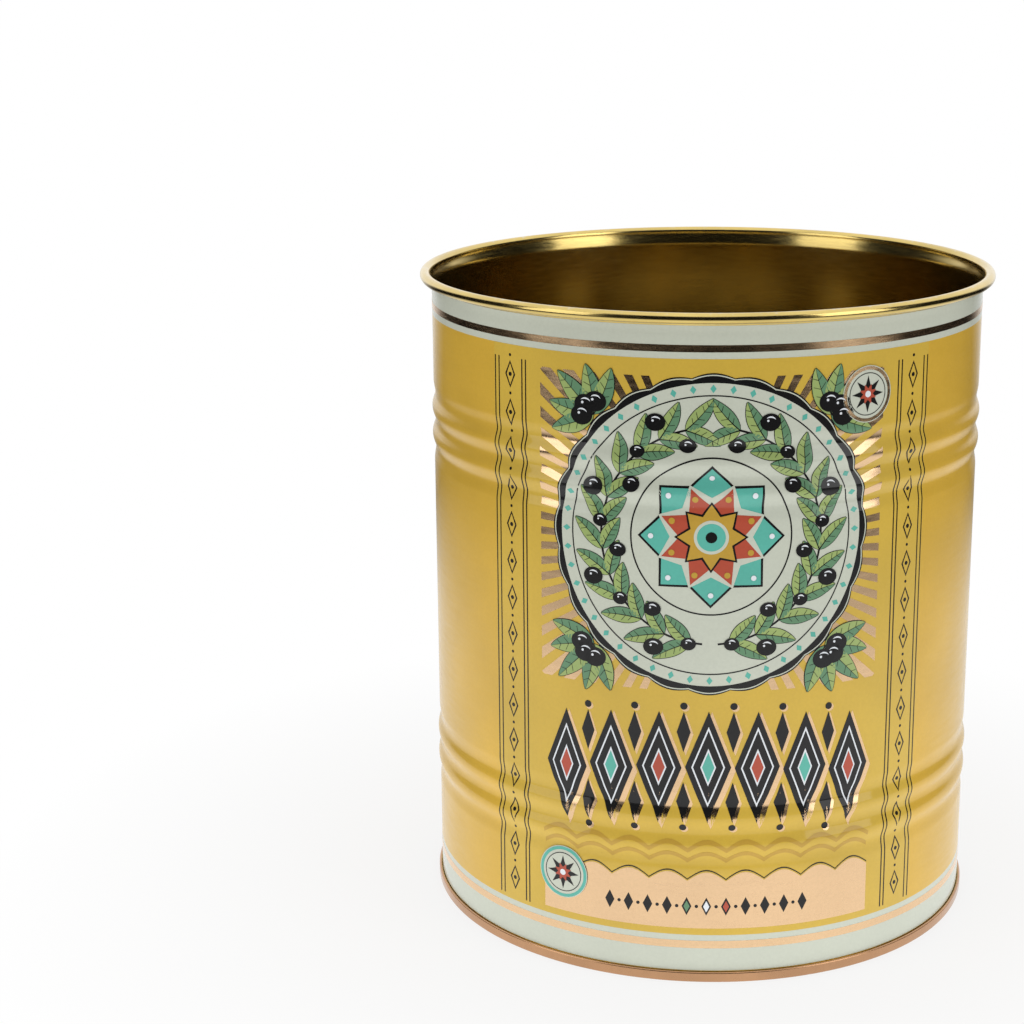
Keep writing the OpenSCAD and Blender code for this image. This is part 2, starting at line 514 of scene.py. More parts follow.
def linear(r, g, b):
    """A screen colour of 0 to 255 as the linear colour that a shader takes, by the sRGB curve."""
    c = np.array([r, g, b]) / 255
    return tuple(np.where(c <= 0.04045, c / 12.92, ((c + 0.055) / 1.055) ** 2.4).tolist())


# %% [markdown]
# ## Inks under varnish
# The finish is made as in a can works: an ink, then a clear varnish stoved over it.
# The varnish is the shader's coat. It could be a clear shell over the print, but a
# coat gives the same gloss with no second surface. Two bumps are shared by every
# ink, so that the sheet reads as one: slow waves of the rolled metal and the fine
# orange peel of the varnish. The colour drifts a little, as ink does along a run,
# and a fine grain breaks it up. Copper ink is metallic, so it goes dark or pale with
# what it mirrors.

# %% The inks
WAVE_SIZE, WAVE_DEPTH = 34, 0.05
PEEL_SIZE, PEEL_DEPTH = 1.6, 0.004
DRIFT_SIZE, GRAIN_SIZE, RUB_SIZE = 26, 0.7, 9
GRAIN_SHARE, GRAIN_SHADE = 0.16, 0.72
RUB_LOW, RUB_HIGH, RUB_ROUGH = 0.35, 0.7, 0.14


def varnish_normal(tree):
    """Slow waves of the rolled sheet and the fine orange peel of the varnish."""
    waves = bump(tree, noise(tree, WAVE_SIZE, (1, 1, 0.5), 1.0), WAVE_DEPTH)
    return bump(tree, noise(tree, PEEL_SIZE, detail=1.0), PEEL_DEPTH, waves)


def ink(name, colour, metallic=0.0, rough=0.42, drift=0.07, coat=0.7):
    """A varnished ink: slow drift of its strength, a fine grain, and faint rub marks in the gloss."""
    made, tree, shader = material(name)
    slow = spread(tree, noise(tree, DRIFT_SIZE))
    fine = spread(tree, noise(tree, GRAIN_SIZE, detail=2.0))
    base = mixed(tree, slow, shade(colour, 1 - drift), shade(colour, 1 + drift))
    grain = maths(tree, "MULTIPLY", fine, GRAIN_SHARE)
    base = mixed(tree, grain, base, shade(colour, GRAIN_SHADE))
    rubs = noise(tree, RUB_SIZE, (1, 1, 7), 6.0, 0.7)
    gloss = ranged(tree, rubs, RUB_LOW, RUB_HIGH, rough, rough + RUB_ROUGH)
    tree.links.new(base, shader.inputs["Base Color"])
    tree.links.new(gloss, shader.inputs["Roughness"])
    shader.inputs["Metallic"].default_value = metallic
    shader.inputs["Specular IOR Level"].default_value = 0.5 if metallic == 1 else 0.2
    shader.inputs["Coat Weight"].default_value = coat
    shader.inputs["Coat Roughness"].default_value = 0.06
    normal = varnish_normal(tree)
    tree.links.new(normal, shader.inputs["Normal"])
    tree.links.new(normal, shader.inputs["Coat Normal"])
    return made


COPPER_TINT = (0.94, 0.64, 0.37)
INKS = {
    "yellow_ground": ink("yellow_ground", linear(208, 167, 56), metallic=0.15, rough=0.38),
    "panel_yellow": ink("panel_yellow", linear(196, 163, 58)),
    "cream": ink("cream", linear(187, 191, 176), drift=0.03),
    "black": ink("black", linear(12, 11, 12), drift=0.2, rough=0.5),
    "copper": ink("copper", COPPER_TINT, metallic=1.0, rough=0.17, drift=0.05, coat=0.3),
    "teal": ink("teal", linear(84, 168, 152)),
    "rust": ink("rust", linear(168, 70, 48)),
    "mustard": ink("mustard", linear(178, 142, 50)),
    "leaf_light": ink("leaf_light", linear(146, 165, 98)),
    "leaf_dark": ink("leaf_dark", linear(92, 132, 98)),
    "pale": ink("pale", linear(214, 218, 222), drift=0.03),
}
print(len(INKS), "inks")

# %% [markdown]
# ## Gold lacquer
# Food tins are lacquered gold inside, and the curl is rolled out of that lacquered
# face. Under the lacquer lies bright tin with a fine rolling grain. Inside the tin
# the gold is painted deeper and darker, which is painted shade in the tin's hollow.
# The sheet could be cut into two pieces for that, but it is one sheet, so the
# material finds the inside from the way a face looks. Rubbing on edges thins the
# lacquer and lets the tin through, so the wear follows height: it sits on top of the
# curl and under the foot.

# %% Where the inside is
LOOKS_IN, LOOKS_UP = (-0.02, -0.01), (0.4, 0.6)
FADE_FROM, FADE_TO, FADE_TOP = 0.3, 0.1, 0.5


# Mask of the painted shade inside the tin: where the lacquer's gold is painted darker.
def inside_shade_share(tree, place, height):
    """1 on the faces that look into the tin and lie below the flare, 0 elsewhere. They look at the
    axis, by the flat part of the normal along the radius, or up from within the wall's radius."""
    flat = vector_maths(tree, "MULTIPLY", place.outputs["Object"], (1, 1, 0)).outputs["Vector"]
    along = vector_maths(tree, "DOT_PRODUCT", flat, place.outputs["Normal"]).outputs["Value"]
    inward = ranged(tree, along, *LOOKS_IN, 1, 0)
    radius = vector_maths(tree, "LENGTH", flat).outputs["Value"]
    within = ranged(tree, radius, (WALL_R - FADE_FROM) * MM, (WALL_R - FADE_TO) * MM, 1, 0)
    facing_up = parts(tree, place.outputs["Normal"])[2]
    upward = maths(tree, "MULTIPLY", within, ranged(tree, facing_up, *LOOKS_UP, 0, 1))
    below = ranged(tree, height, FLARE_Z * MM, (CURL_Z - FADE_TOP) * MM, 1, 0)
    return maths(tree, "MULTIPLY", maths(tree, "MAXIMUM", inward, upward), below)


# %% The lacquers
# The deeper inside gold is painted shade: the tin's hollow is darker only because less light reaches
# it.
SHADED_INSIDE_GOLD, BARE_TIN = (0.56, 0.42, 0.14), (0.72, 0.69, 0.62, 1)
THIN_TINT, THICK_TINT = 1.08, 0.86
LINE_SHARE, LINE_SHADE, LINE_DEPTH, LINE_ROUGH = 0.35, 0.7, 0.004, 0.1


def lacquer(name, colour, grain_squeeze, worn_low, worn_high, rough=0.13):
    """Metal under tinted lacquer: grain lines, cloudy tint, and worn flecks between two heights.
    Inside the tin both sheets are painted a deeper, darker gold, which is painted shade in the hollow."""
    made, tree, shader = material(name)
    clouds = spread(tree, noise(tree, 18, detail=4.0))
    lines = noise(tree, 5, grain_squeeze, 4.0, 0.65)
    tint = mixed(tree, clouds, shade(colour, THICK_TINT), shade(colour, THIN_TINT))
    tint = mixed(tree, maths(tree, "MULTIPLY", lines, LINE_SHARE), tint, shade(colour, LINE_SHADE))
    place = tree.nodes.new("ShaderNodeTexCoord")
    height = parts(tree, place.outputs["Object"])[2]
    # Painted shade: a darker gold on the faces inside the tin.
    inner = mixed(tree, clouds, shade(SHADED_INSIDE_GOLD, THICK_TINT), shade(SHADED_INSIDE_GOLD, THIN_TINT))
    tint = mixed(tree, inside_shade_share(tree, place, height), tint, inner)
    edge = ranged(tree, height, worn_low * MM, worn_high * MM, 0, 1)
    fleck = ranged(tree, noise(tree, 1.4, detail=5.0, rough=0.75), 0.56, 0.66, 0, 0.75)
    tint = mixed(tree, maths(tree, "MULTIPLY", edge, fleck), tint, BARE_TIN)
    tree.links.new(tint, shader.inputs["Base Color"])
    tree.links.new(spread(tree, lines, rough, rough + LINE_ROUGH), shader.inputs["Roughness"])
    shader.inputs["Metallic"].default_value = 1.0
    shader.inputs["Coat Weight"].default_value = 0.35
    shader.inputs["Coat Roughness"].default_value = 0.12
    ripple = bump(tree, noise(tree, 30, (1, 1, 0.4), 1.0), 0.05)
    tree.links.new(bump(tree, lines, LINE_DEPTH, ripple), shader.inputs["Normal"])
    return made


GOLD = lacquer("gold_lacquer", (0.80, 0.60, 0.20), (1, 1, 9), RIM_TOP - 0.5, RIM_TOP)
ROSE = lacquer("rose_gold_lacquer", (0.60, 0.33, 0.17), (1, 9, 1), 0.5, 0.0, rough=0.2)
print("lacquers", GOLD.name, ROSE.name)

# %% [markdown]
# ## Sealing compound
# A dark rubbery ring is squeezed into the double seam, out of sight. It could be
# modelled again with a softer skin, but nobody sees it, so the frame's own solid is
# kept as it is and only gets its material.


# %% Compound
def compound_material():
    """Dark rubbery sealing compound, with a dull cloudy skin."""
    made, tree, shader = material("sealing_compound")
    clouds = noise(tree, 1.5, detail=4.0)
    skin = mixed(tree, clouds, (0.03, 0.03, 0.035, 1), (0.07, 0.07, 0.08, 1))
    tree.links.new(skin, shader.inputs["Base Color"])
    tree.links.new(spread(tree, clouds, 0.55, 0.8), shader.inputs["Roughness"])
    tree.links.new(bump(tree, clouds, 0.02), shader.inputs["Normal"])
    return made


compound = frame["nodes"]["seam_compound"]
compound.data.materials.clear()
compound.data.materials.append(compound_material())
print("compound", compound.data.materials[0].name)

# %% [markdown]
# ## The body sheet
# One blank is rolled into a cylinder and lapped at the back, then beaded, flared,
# curled at the top and hooked at the foot. The path starts at the tip of the hook
# in the seam and ends at the tip of the curl, so rim, wall and foot are one sheet.
# The lap could be a step in the wall all the way up. It is made as a second layer
# of sheet on the outside at the back, a strip of the same wall lifted by one
# thickness, because that follows the beads by itself.

# %% Places of the double seam
END_SHEET, SEAM_H, SEAM_GAP = 0.25, 2.6, 0.04
FOOT_BEND, COMPOUND_H, HOOK_GAP = 0.28, 0.4, 0.35
COVER_R = PRINT_R + SEAM_GAP + END_SHEET / 2
HOOK_R = COVER_R + END_SHEET / 2 + SEAM_GAP + SHEET / 2
OUTER_R = HOOK_R + SHEET / 2 + SEAM_GAP + END_SHEET / 2
CHUCK_R = PRINT_R - SHEET - SEAM_GAP - END_SHEET / 2
FLANGE_Z = END_SHEET + SEAM_GAP + SHEET / 2
HOOK_TOP = SEAM_H - END_SHEET - SEAM_GAP - COMPOUND_H
print("seam from radius", round(CHUCK_R, 2), "to", round(OUTER_R + END_SHEET / 2, 2), "mm")

# %% Body sheet
FLARE_GAP, FLARE_STEPS, CURL_STEPS, LAP_STEPS = 0.3, 10, 42, 4
LAP_W, LAP_MARGIN = 5.0, 1.5

hook = bent([
    (HOOK_R, HOOK_TOP, 0),
    (HOOK_R, FLANGE_Z, FOOT_BEND),
    (WALL_R, FLANGE_Z, FOOT_BEND),
    (WALL_R, SEAM_H, 0),
])
plain_rise = heights(SEAM_H + 1, CURL_Z)
flare_rise = np.linspace(FLARE_Z, CURL_Z, FLARE_STEPS + 1)
rise = np.concatenate([plain_rise[plain_rise < FLARE_Z - FLARE_GAP], flare_rise[:-1]])
side = np.stack([wall(rise), rise], -1)
curl_r = (CURL_D - SHEET) / 2
sweep = np.radians(180 - np.linspace(0, CURL_TURN, CURL_STEPS + 1))
curl_out = WALL_R + FLARE + curl_r + curl_r * np.cos(sweep)
curl = np.stack([curl_out, CURL_Z + curl_r * np.sin(sweep)], -1)
body_places, body_faces = revolve(thick(np.vstack([hook, side, curl]), SHEET))

back = np.pi * PRINT_R
lap_u = np.linspace(back - LAP_W / 2, back + LAP_W / 2, LAP_STEPS + 1)
lap_z = heights(SEAM_H + LAP_MARGIN, FLARE_Z - LAP_MARGIN)
lap_grid = np.meshgrid(lap_u, lap_z, indexing="ij")
lap_places, lap_faces, _ = film(*lap_grid, SHEET / LAYER, low=0.0)
body_sheet = add_piece(
    "body_sheet",
    np.vstack([body_places, lap_places]),
    np.vstack([body_faces, lap_faces + len(body_places)]),
    GOLD,
)
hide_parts("body_shell")

# %% [markdown]
# ## The base end
# The base is pressed from its own blank: a panel with three stiffening rings, a
# countersunk ring, and the wall that hooks round the body's foot. Its rings could
# be bumps in the material, but real steps catch the light when one looks in, so
# they are bends of the path. It runs from the middle of the panel to the tip of the
# cover hook.

# %% Path of the base end
COUNTERSINK, COUNTERSINK_W, PANEL_DROP = 3.6, 2.2, 0.9
RING_COUNT, RING_PITCH, RING_W, RING_RISE, RING_MARGIN = 3, 10, 2.4, 0.5, 6
SINK_Z = COUNTERSINK - END_SHEET / 2
PANEL_Z = SINK_Z - PANEL_DROP
PANEL_R = CHUCK_R - COUNTERSINK_W
FIRST_RING = PANEL_R - RING_MARGIN - (RING_COUNT - 1) * RING_PITCH

ring_path = [
    (-RING_W / 2 - RING_RISE, 0),
    (-RING_W / 2, 1),
    (RING_W / 2, 1),
    (RING_W / 2 + RING_RISE, 0),
]
corners = [(0, PANEL_Z, 0)]
for i in range(RING_COUNT):
    middle = FIRST_RING + i * RING_PITCH
    corners += [(middle + out, PANEL_Z + up * RING_RISE, RING_W / 4) for out, up in ring_path]
fold = (OUTER_R - COVER_R) / 2
sheet_bend = FOOT_BEND + END_SHEET / 2
corners += [
    (PANEL_R, PANEL_Z, PANEL_DROP / 2),
    (PANEL_R, SINK_Z, PANEL_DROP / 2),
    (CHUCK_R, SINK_Z, COUNTERSINK_W / 3),
    (CHUCK_R, END_SHEET / 2, sheet_bend),
    (OUTER_R, END_SHEET / 2, sheet_bend),
    (OUTER_R, SEAM_H - END_SHEET / 2, fold),
    (COVER_R, SEAM_H - END_SHEET / 2, fold),
    (COVER_R, FLANGE_Z + SHEET / 2 + HOOK_GAP, 0),
]
print("base end: a path of", len(corners), "corners")

# %% Base end
ON_AXIS, JOIN_DISTANCE = 1e-7, 1e-6


def close_poles(piece):
    """Joins the points that lie on the axis into one, which closes the middle of the panel."""
    held = bmesh.new()
    held.from_mesh(piece.data)
    axis = [v for v in held.verts if math.hypot(v.co.x, v.co.y) < ON_AXIS]
    bmesh.ops.remove_doubles(held, verts=axis, dist=JOIN_DISTANCE)
    held.to_mesh(piece.data)
    held.free()


base_places, base_faces = revolve(thick(bent(corners), END_SHEET))
base_sheet = add_piece("base_end_sheet", base_places, base_faces, ROSE)
close_poles(base_sheet)
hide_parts("base_end")

# %% [markdown]
# ## The grounds
# A press lays the large grounds first: cream at the top and the foot, yellow
# between them, and a more opaque yellow panel at the front. They could be bands of
# colour in the wall's own material, but as films they have the clean edges of a
# plate. The films stop short of the lap, because a side seam is joined bare and
# only lacquered.

# %% Grounds and copper lines
BARE_SEAM = LAP_W / 2 + 0.9
CREAM_TOP, LINE_TOP, LINE_TOP_LOW, YELLOW_TOP = 157.0, 152.6, 151.0, 149.5
YELLOW_LOW, LINE_LOW_TOP, LINE_LOW, CREAM_LOW = 11.9, 10.4, 8.5, 2.75
PANEL_HALF, PANEL_STEPS = 55.5, 64
round_u = np.linspace(-back + BARE_SEAM, back - BARE_SEAM, SEGMENTS + 1)


def all_round(low, high, layer):
    """A ground that goes round the tin between two heights, up to the bare seam."""
    return film(*np.meshgrid(round_u, heights(low, high, coarse=1.2), indexing="ij"), layer)


panel_u = np.linspace(-PANEL_HALF, PANEL_HALF, PANEL_STEPS + 1)
panel_grid = np.meshgrid(panel_u, heights(YELLOW_LOW, YELLOW_TOP), indexing="ij")
print_piece("ground_yellow", [all_round(YELLOW_LOW, YELLOW_TOP, GROUND)], INKS["yellow_ground"])
print_piece("ground_panel", [film(*panel_grid, PANEL)], INKS["panel_yellow"])

art = {name: [] for name in INKS if name not in ("yellow_ground", "panel_yellow")}
art["cream"] += [all_round(YELLOW_TOP, CREAM_TOP, GROUND), all_round(CREAM_LOW, YELLOW_LOW, GROUND)]
art["copper"] += [all_round(LINE_TOP_LOW, LINE_TOP, PANEL), all_round(LINE_LOW, LINE_LOW_TOP, PANEL)]

# %% [markdown]
# ## Rules and side ornament
# Fine double rules run up both sides of the panel, with a slim chain of lozenges
# and dots between them. It is common printers' ornament. Bare sides would leave the
# panel without its upright weight, so the chain is drawn as heavy as a thin line of
# type.

# %% Rules and chains
RULES = (45.3, 46.4, 53.8, 55.1)
RULE_LOW, RULE_TOP, RULE_HALF = 13.0, 146.5, 0.17
CHAIN_U, CHAIN_STEP, CHAIN_DOT, LINK_DOT = 50.1, 8.9, 0.36, 0.5
LINK_INNER, LINK_OUTER = lozenge(1.15, 2.55), lozenge(1.6, 3.2)
rule_z = heights(RULE_LOW, RULE_TOP, coarse=3.0)
chain_z = np.arange(RULE_LOW + 5, RULE_TOP - 3, CHAIN_STEP)
for mirror in (-1, 1):
    for u in RULES:
        art["black"].append(ribbon(np.full_like(rule_z, mirror * u), rule_z, RULE_HALF, COPPER))
    u = mirror * CHAIN_U
    for z in chain_z:
        art["black"].append(hoop(u, z, LINK_INNER, LINK_OUTER, COPPER, steps=24))
        art["black"].append(blob(u, z, circle(LINK_DOT), COPPER))
        art["black"].append(blob(u, z + CHAIN_STEP / 2, circle(CHAIN_DOT), COPPER))
print("chain links", 2 * len(chain_z))

# %% [markdown]
# ## Rays
# Copper rays start behind the medallion and are cut off by an upright frame. They
# could be whole rays cut by a boolean, but it is cleaner to stop each where it meets
# the frame. So a ray is a fan between two radii, and its outer end follows a formula
# for the frame.

# %% Rays behind the medallion
HUB_Z, HUB_R = 109.0, 37.4
FRAME_W, FRAME_H = 41.0, 36.5
RAYS, RAY_CELL, RAY_WIDE = 72, 0.5, 0.25
RAY_START, SHORTEST_RAY = HUB_R - 1.0, HUB_R + 1.2
LEAST_PART = 1e-6


def frame_reach(angle):
    """Distance from the hub to the upright frame: half the frame's width over the cosine or half
    its height over the sine, whichever is nearer."""
    side_way = FRAME_W / np.maximum(np.abs(np.cos(angle)), LEAST_PART)
    return np.minimum(side_way, FRAME_H / np.maximum(np.abs(np.sin(angle)), LEAST_PART))


def ray(angle):
    """One ray: a grid of radii by four angles, from behind the medallion to the frame."""
    angles = np.linspace(-RAY_WIDE, RAY_WIDE, 4) * 2 * np.pi / RAYS + angle
    outer = frame_reach(angles)
    if outer.min() < SHORTEST_RAY:
        return None
    steps = max(2, math.ceil((outer.max() - HUB_R) / RAY_CELL))
    share = np.linspace(0, 1, steps + 1)[:, None]
    far = RAY_START * (1 - share) + outer * share
    return film(far * np.cos(angles), HUB_Z + far * np.sin(angles), COPPER)


rays = [ray((k + 0.5) * 2 * np.pi / RAYS) for k in range(RAYS)]
rays = [r for r in rays if r is not None]
art["copper"] += rays
print("rays", len(rays))

# %% [markdown]
# ## Medallion
# The middle is a scalloped medallion with a tile star. Stars of eight points and
# scallops are old common ornament. The black line round each field could be a ribbon
# along its edge, but a press prints black first as a key, and paler inks over it, so
# the black shows as an even line. Where a field hides the black, only a hoop of it
# is printed.

# %% Medallion field
FIELD_R, BEZEL_R, CUSP = 35.2, 36.3, 0.75
DIAMONDS, DIAMOND_R, DIAMOND = 48, 33.9, lozenge(0.95, 0.7)
LINE_INNER, LINE_OUTER = circle(32.2), circle(32.5)
BLACK_INNER, BLACK_OUTER = circle(34.4), scallops(HUB_R - 0.9, 0.9)
PALE_INNER, PALE_OUTER = scallops(BEZEL_R - 0.25, CUSP), scallops(BEZEL_R, CUSP)

art["black"].append(hoop(0, HUB_Z, BLACK_INNER, BLACK_OUTER, KEY, steps=432, across=3))
art["cream"].append(hoop(0, HUB_Z, PALE_INNER, PALE_OUTER, FIELD, steps=288))
art["cream"].append(blob(0, HUB_Z, circle(FIELD_R), FIELD, cells=112))
for k in range(DIAMONDS):
    a = k * 2 * np.pi / DIAMONDS
    u, z = DIAMOND_R * np.cos(a), HUB_Z + DIAMOND_R * np.sin(a)
    art["teal"].append(blob(u, z, DIAMOND, DRAWING, tilt=a))
art["black"].append(hoop(0, HUB_Z, LINE_INNER, LINE_OUTER, DRAWING, steps=192))
print("medallion", 2 * HUB_R, "mm across with", DIAMONDS, "diamonds")

# %% [markdown]
# ## Tile star
# Inside the field lies a star as on glazed tiles. It could be cut into its many
# small kites, but a printer stacks it: stars and discs that get smaller upwards,
# each in its ink, and two of the stars turned by half a point.

# %% Tile star
POINTS, STAR_CELL = 8, 1.3
HALF_POINT = np.pi / POINTS
STAR_STACK = [
    ("teal", star(15.9, 12.1), 0.0),
    ("cream", star(12.9, 9.3), HALF_POINT),
    ("rust", star(12.1, 7.2), HALF_POINT),
    ("black", star(8.3, 5.6), 0.0),
    ("mustard", star(7.6, 5.0), 0.0),
    ("cream", circle(3.9), 0.0),
    ("teal", circle(3.2), 0.0),
    ("black", circle(1.3), 0.0),
]
STAR_DOTS = ((13.6, "pale", 0.62, 0.0), (9.6, "mustard", 0.7, HALF_POINT))
DOT_LAYER = DRAWING + 5
STAR_RING = circle(18.0), circle(18.35)

star_edge = hoop(0, HUB_Z, star(14.6, 10.9), star(16.6, 12.7), DRAWING, steps=192, across=3)
art["black"].append(star_edge)
for above, (colour, outline, tilt) in enumerate(STAR_STACK, 1):
    cells = 4 * math.ceil(float(outline(0.0)) / STAR_CELL)
    art[colour].append(blob(0, HUB_Z, outline, DRAWING + above, cells=cells, tilt=tilt))
for k in range(POINTS):
    for far, colour, size, tilt in STAR_DOTS:
        a = k * 2 * np.pi / POINTS + tilt
        u, z = far * np.cos(a), HUB_Z + far * np.sin(a)
        art[colour].append(blob(u, z, circle(size), DOT_LAYER))
art["black"].append(hoop(0, HUB_Z, *STAR_RING, DRAWING, steps=144))
print("star of", POINTS, "points in", len(STAR_STACK) + 1, "layers")

# %% [markdown]
# ## Leaves and berries
# A wreath of leaves and round dark berries fills the medallion, and a fan of them
# fills each corner of the frame. A leaf could be one outline filled with a hatched
# texture. It is printed as a press would: a dark key shape, two halves in two greens
# over it, and a rib and veins on top. All of it runs along one bent line, so a leaf
# can have any length, width and sway.

# %% A leaf
LEAF_CELL, LEAF_EDGE, LEAF_TIP = 0.7, 0.16, 0.03
LEAF_SKEW, LEAF_FULL = 0.85, 0.8
VEINS, VEIN_FROM, VEIN_TO = 4, 0.25, 0.8
VEIN_REACH, VEIN_LEAN, VEIN_HALF, RIB_HALF = 0.72, 0.7, 0.055, 0.11


def leaf(u, z, angle, length, width, sway, layer):
    """A leaf along a bent rib, whose bend is a parabola. Its half width is a sine of s, the share of
    the way along, with powers that move the widest part and keep the middle full."""
    s = np.linspace(0, 1, max(8, math.ceil(length / LEAF_CELL)))
    along, off = length * s, sway * length * s * (1 - s)
    rib_u = u + along * np.cos(angle) - off * np.sin(angle)
    rib_z = z + along * np.sin(angle) + off * np.cos(angle)
    half = width / 2 * np.sin(np.pi * s ** LEAF_SKEW) ** LEAF_FULL + LEAF_TIP
    art["black"].append(ribbon(rib_u, rib_z, half + LEAF_EDGE, layer, across=6))
    du, dz = np.gradient(rib_u), np.gradient(rib_z)
    side_u, side_z = -dz / np.hypot(du, dz), du / np.hypot(du, dz)
    for colour, sign in (("leaf_light", 1), ("leaf_dark", -1)):
        share = np.linspace(0.02, 1, 4) * sign
        grid_u = rib_u[:, None] + (side_u * half)[:, None] * share
        grid_z = rib_z[:, None] + (side_z * half)[:, None] * share
        art[colour].append(film(grid_u, grid_z, layer + 1))
    art["black"].append(ribbon(rib_u, rib_z, RIB_HALF * (1.2 - s), layer + 2))
    t = np.linspace(0, 1, 3)
    for part in np.linspace(VEIN_FROM, VEIN_TO, VEINS):
        k = int(part * (len(s) - 1))
        reach = half[k] * VEIN_REACH
        for sign in (-1, 1):
            vein_u = rib_u[k] + t * (sign * side_u[k] * reach + np.cos(angle) * reach * VEIN_LEAN)
            vein_z = rib_z[k] + t * (sign * side_z[k] * reach + np.sin(angle) * reach * VEIN_LEAN)
            art["black"].append(ribbon(vein_u, vein_z, VEIN_HALF, layer + 2))


# %% A berry
BERRY_LONG, SHINE_FROM, SHINE_TO, SHINE_STEPS = 1.16, 0.55, 2.3, 9
SHINE_U, SHINE_Z, SHINE_HALF, SHINE_TIP = 0.66, 0.6, 0.16, 0.02
SPOT_U, SPOT_Z, SPOT_SIZE = -0.28, 0.18, 0.13


def berry(u, z, size):
    """A dark oval with a soft shine, which is an arc as wide as a sine, and a small bright spot."""
    art["black"].append(blob(u, z, oval(size * BERRY_LONG, size), BERRIES))
    turn = np.linspace(SHINE_FROM, SHINE_TO, SHINE_STEPS)
    half = SHINE_HALF * np.sin((turn - SHINE_FROM) * np.pi / (SHINE_TO - SHINE_FROM)) + SHINE_TIP
    shine_u, shine_z = u + size * SHINE_U * np.cos(turn), z + size * SHINE_Z * np.sin(turn)
    art["pale"].append(ribbon(shine_u, shine_z, half, BERRIES + 1))
    spot = circle(size * SPOT_SIZE)
    art["pale"].append(blob(u + size * SPOT_U, z + size * SPOT_Z, spot, BERRIES + 1))


# %% [markdown]
# ## Wreath and corner fans
# The wreath is two bent stems that mirror each other. At each node stand a leaf to
# the outside, a leaf to the inside and a berry. The leaves could be scattered at
# random, but a drawn wreath has an even beat, so a loop sets them by angle, and
# only the berries change their side.

# %% Wreath
WREATH_R, WREATH_NODES, FIRST_NODE, NODE_STEP = 25.2, 12, -80, 14.2
STEM_FROM, STEM_TO, STEM_STEPS, STEM_HALF = -86, 82, 97, 0.24
WREATH_LEAVES, WREATH_LEAF_W = ((0.62, 9.6, 0.16), (-0.66, 8.6, -0.16)), 3.5
WREATH_BERRIES = ((1, 0.4, 1.5), (2, 3.9, 2.0), (-1, -3.6, 1.7))

stem = np.radians(np.linspace(STEM_FROM, STEM_TO, STEM_STEPS))
for mirror in (-1, 1):
    stem_u, stem_z = mirror * WREATH_R * np.cos(stem), HUB_Z + WREATH_R * np.sin(stem)
    art["black"].append(ribbon(stem_u, stem_z, STEM_HALF, DRAWING))
for mirror in (-1, 1):
    for k in range(WREATH_NODES):
        a = math.radians(FIRST_NODE + k * NODE_STEP)
        u, z = mirror * WREATH_R * math.cos(a), HUB_Z + WREATH_R * math.sin(a)
        for turn, length, sway in WREATH_LEAVES:
            way = a + math.pi / 2 - turn
            way = way if mirror > 0 else math.pi - way
            leaf(u, z, way, length, WREATH_LEAF_W, sway * mirror, LEAVES)
        ahead, out, size = WREATH_BERRIES[k % len(WREATH_BERRIES)]
        b, far = a + math.radians(ahead), WREATH_R + out
        berry(mirror * far * math.cos(b), HUB_Z + far * math.sin(b), size)
print("wreath of", 2 * WREATH_NODES, "nodes")

# %% Corner fans
CORNERS, CORNER_R = (45, 135, 225, 315), 38.2
FAN_TURNS, FAN_SIDE, FAN_MIDDLE = (-1.15, -0.6, 0.6, 1.15, 0.0), 11.5, 13.0
FAN_LEAF_W, FAN_SWAY = 4.4, 0.14
FAN_BERRIES, BERRY_OUT, BERRY_SIZE = (-0.9, 0.9, 0.0), 3.0, 2.3

for corner in CORNERS:
    a = math.radians(corner)
    u, z = CORNER_R * math.cos(a), HUB_Z + CORNER_R * math.sin(a)
    for turn in FAN_TURNS:
        length = FAN_SIDE if turn else FAN_MIDDLE
        leaf(u, z, a + turn, length, FAN_LEAF_W, FAN_SWAY * np.sign(turn), LEAVES)
    for turn in FAN_BERRIES:
        berry(u + BERRY_OUT * math.cos(a + turn), z + BERRY_OUT * math.sin(a + turn), BERRY_SIZE)
print("corner fans", len(CORNERS), "of", len(FAN_TURNS), "leaves")

# %% [markdown]
# ## Frieze
# Below the medallion runs the heaviest band of the print. It is a row of tall
# black lozenges on a shallow arch, each with a pale inline and a copper shade to
# one side, and slim darts between them. A straight row would be simpler, but the
# arch leads the eye back up to the medallion.

# %% Frieze of lozenges
FRIEZE_Z, FRIEZE_RISE, FRIEZE_HALF, LOZENGES, LOZENGE_STEP = 51.0, 3.0, 38, 7, 11.4
LOZENGE_W, LOZENGE_H, SHADE_U, SHADE_Z = 5.3, 13.6, 0.75, -0.85
INLINE_INNER, INLINE_OUTER = lozenge(LOZENGE_W, LOZENGE_H, 0.66), lozenge(LOZENGE_W, LOZENGE_H, 0.73)
PALE_HEART, HEART = lozenge(LOZENGE_W, LOZENGE_H, 0.34), lozenge(LOZENGE_W, LOZENGE_H, 0.27)
HEARTS = ("rust", "teal")


def arch(u):
    """Height of the frieze's middle line: a parabola, highest at the front's middle."""
    return FRIEZE_Z + FRIEZE_RISE * (1 - (u / FRIEZE_HALF) ** 2)


for i in range(LOZENGES):
    u = (i - (LOZENGES - 1) / 2) * LOZENGE_STEP
    z = arch(u)
    under = lozenge(LOZENGE_W + 0.35, LOZENGE_H + 0.8)
    art["copper"].append(blob(u + SHADE_U, z + SHADE_Z, under, COPPER, cells=48))
    art["black"].append(blob(u, z, lozenge(LOZENGE_W, LOZENGE_H), KEY, cells=44))
    art["pale"].append(hoop(u, z, INLINE_INNER, INLINE_OUTER, FIELD, steps=128))
    art["pale"].append(blob(u, z, PALE_HEART, FIELD, cells=24))
    art[HEARTS[i % 2]].append(blob(u, z, HEART, DRAWING, cells=20))
print("frieze of", LOZENGES, "lozenges")

